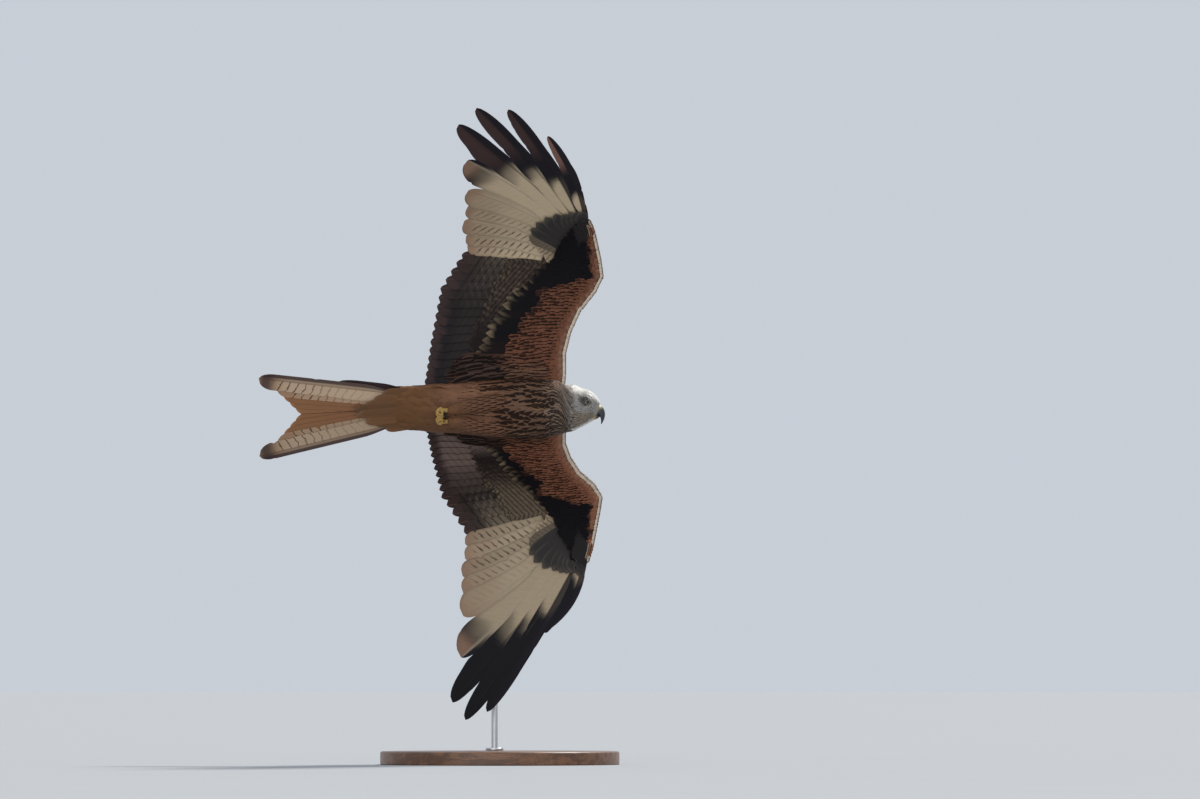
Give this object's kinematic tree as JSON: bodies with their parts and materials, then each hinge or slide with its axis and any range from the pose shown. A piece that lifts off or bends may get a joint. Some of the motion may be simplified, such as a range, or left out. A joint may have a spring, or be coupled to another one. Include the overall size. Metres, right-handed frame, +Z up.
{
  "type": "red kite bird model on a display stand",
  "caption": "Life-size red kite in a banked glide, wings arched and tail forked, held by a bent rod on a round base.",
  "frame": {"origin": "centre of the underside of the display base, which rests on the floor", "axes": "+X the way the bird flies, +Z up; the bird is banked about X with its left wing down and its belly towards -Y"},
  "size_m": [0.6778, 0.5521, 1.2141],
  "materials": {
    "body_feathers": "matt rufous and brown feathers with dark streaks",
    "head_feathers": "matt pale grey feathers with fine dark streaks",
    "wing_feathers": "satin dark vanes with pale bases and bars",
    "tail_feathers": "satin rufous vanes, greyer below, with thin bars",
    "bill_horn": "smooth black horn, yellow at the base",
    "eye": "wet, pale yellow iris and dark pupil",
    "foot_scales": "yellow scaled skin, black claws",
    "stand_steel": "brushed",
    "stand_wood": "oiled dark wood"
  },
  "bodies": {
    "root": {"torso": "body_feathers", "neck": "body_feathers", "tail": "tail_feathers", "head": "head_feathers", "bill_upper": "bill_horn", "bill_lower": "bill_horn", "eye_left": "eye", "eye_right": "eye", "left_wing_arm": "wing_feathers", "left_wing_hand": "wing_feathers", "right_wing_arm": "wing_feathers", "right_wing_hand": "wing_feathers", "left_leg": "body_feathers", "right_leg": "body_feathers", "left_foot": "foot_scales", "right_foot": "foot_scales", "stand_rod": "stand_steel", "stand_base": "stand_wood"}
  },
  "joints": []
}
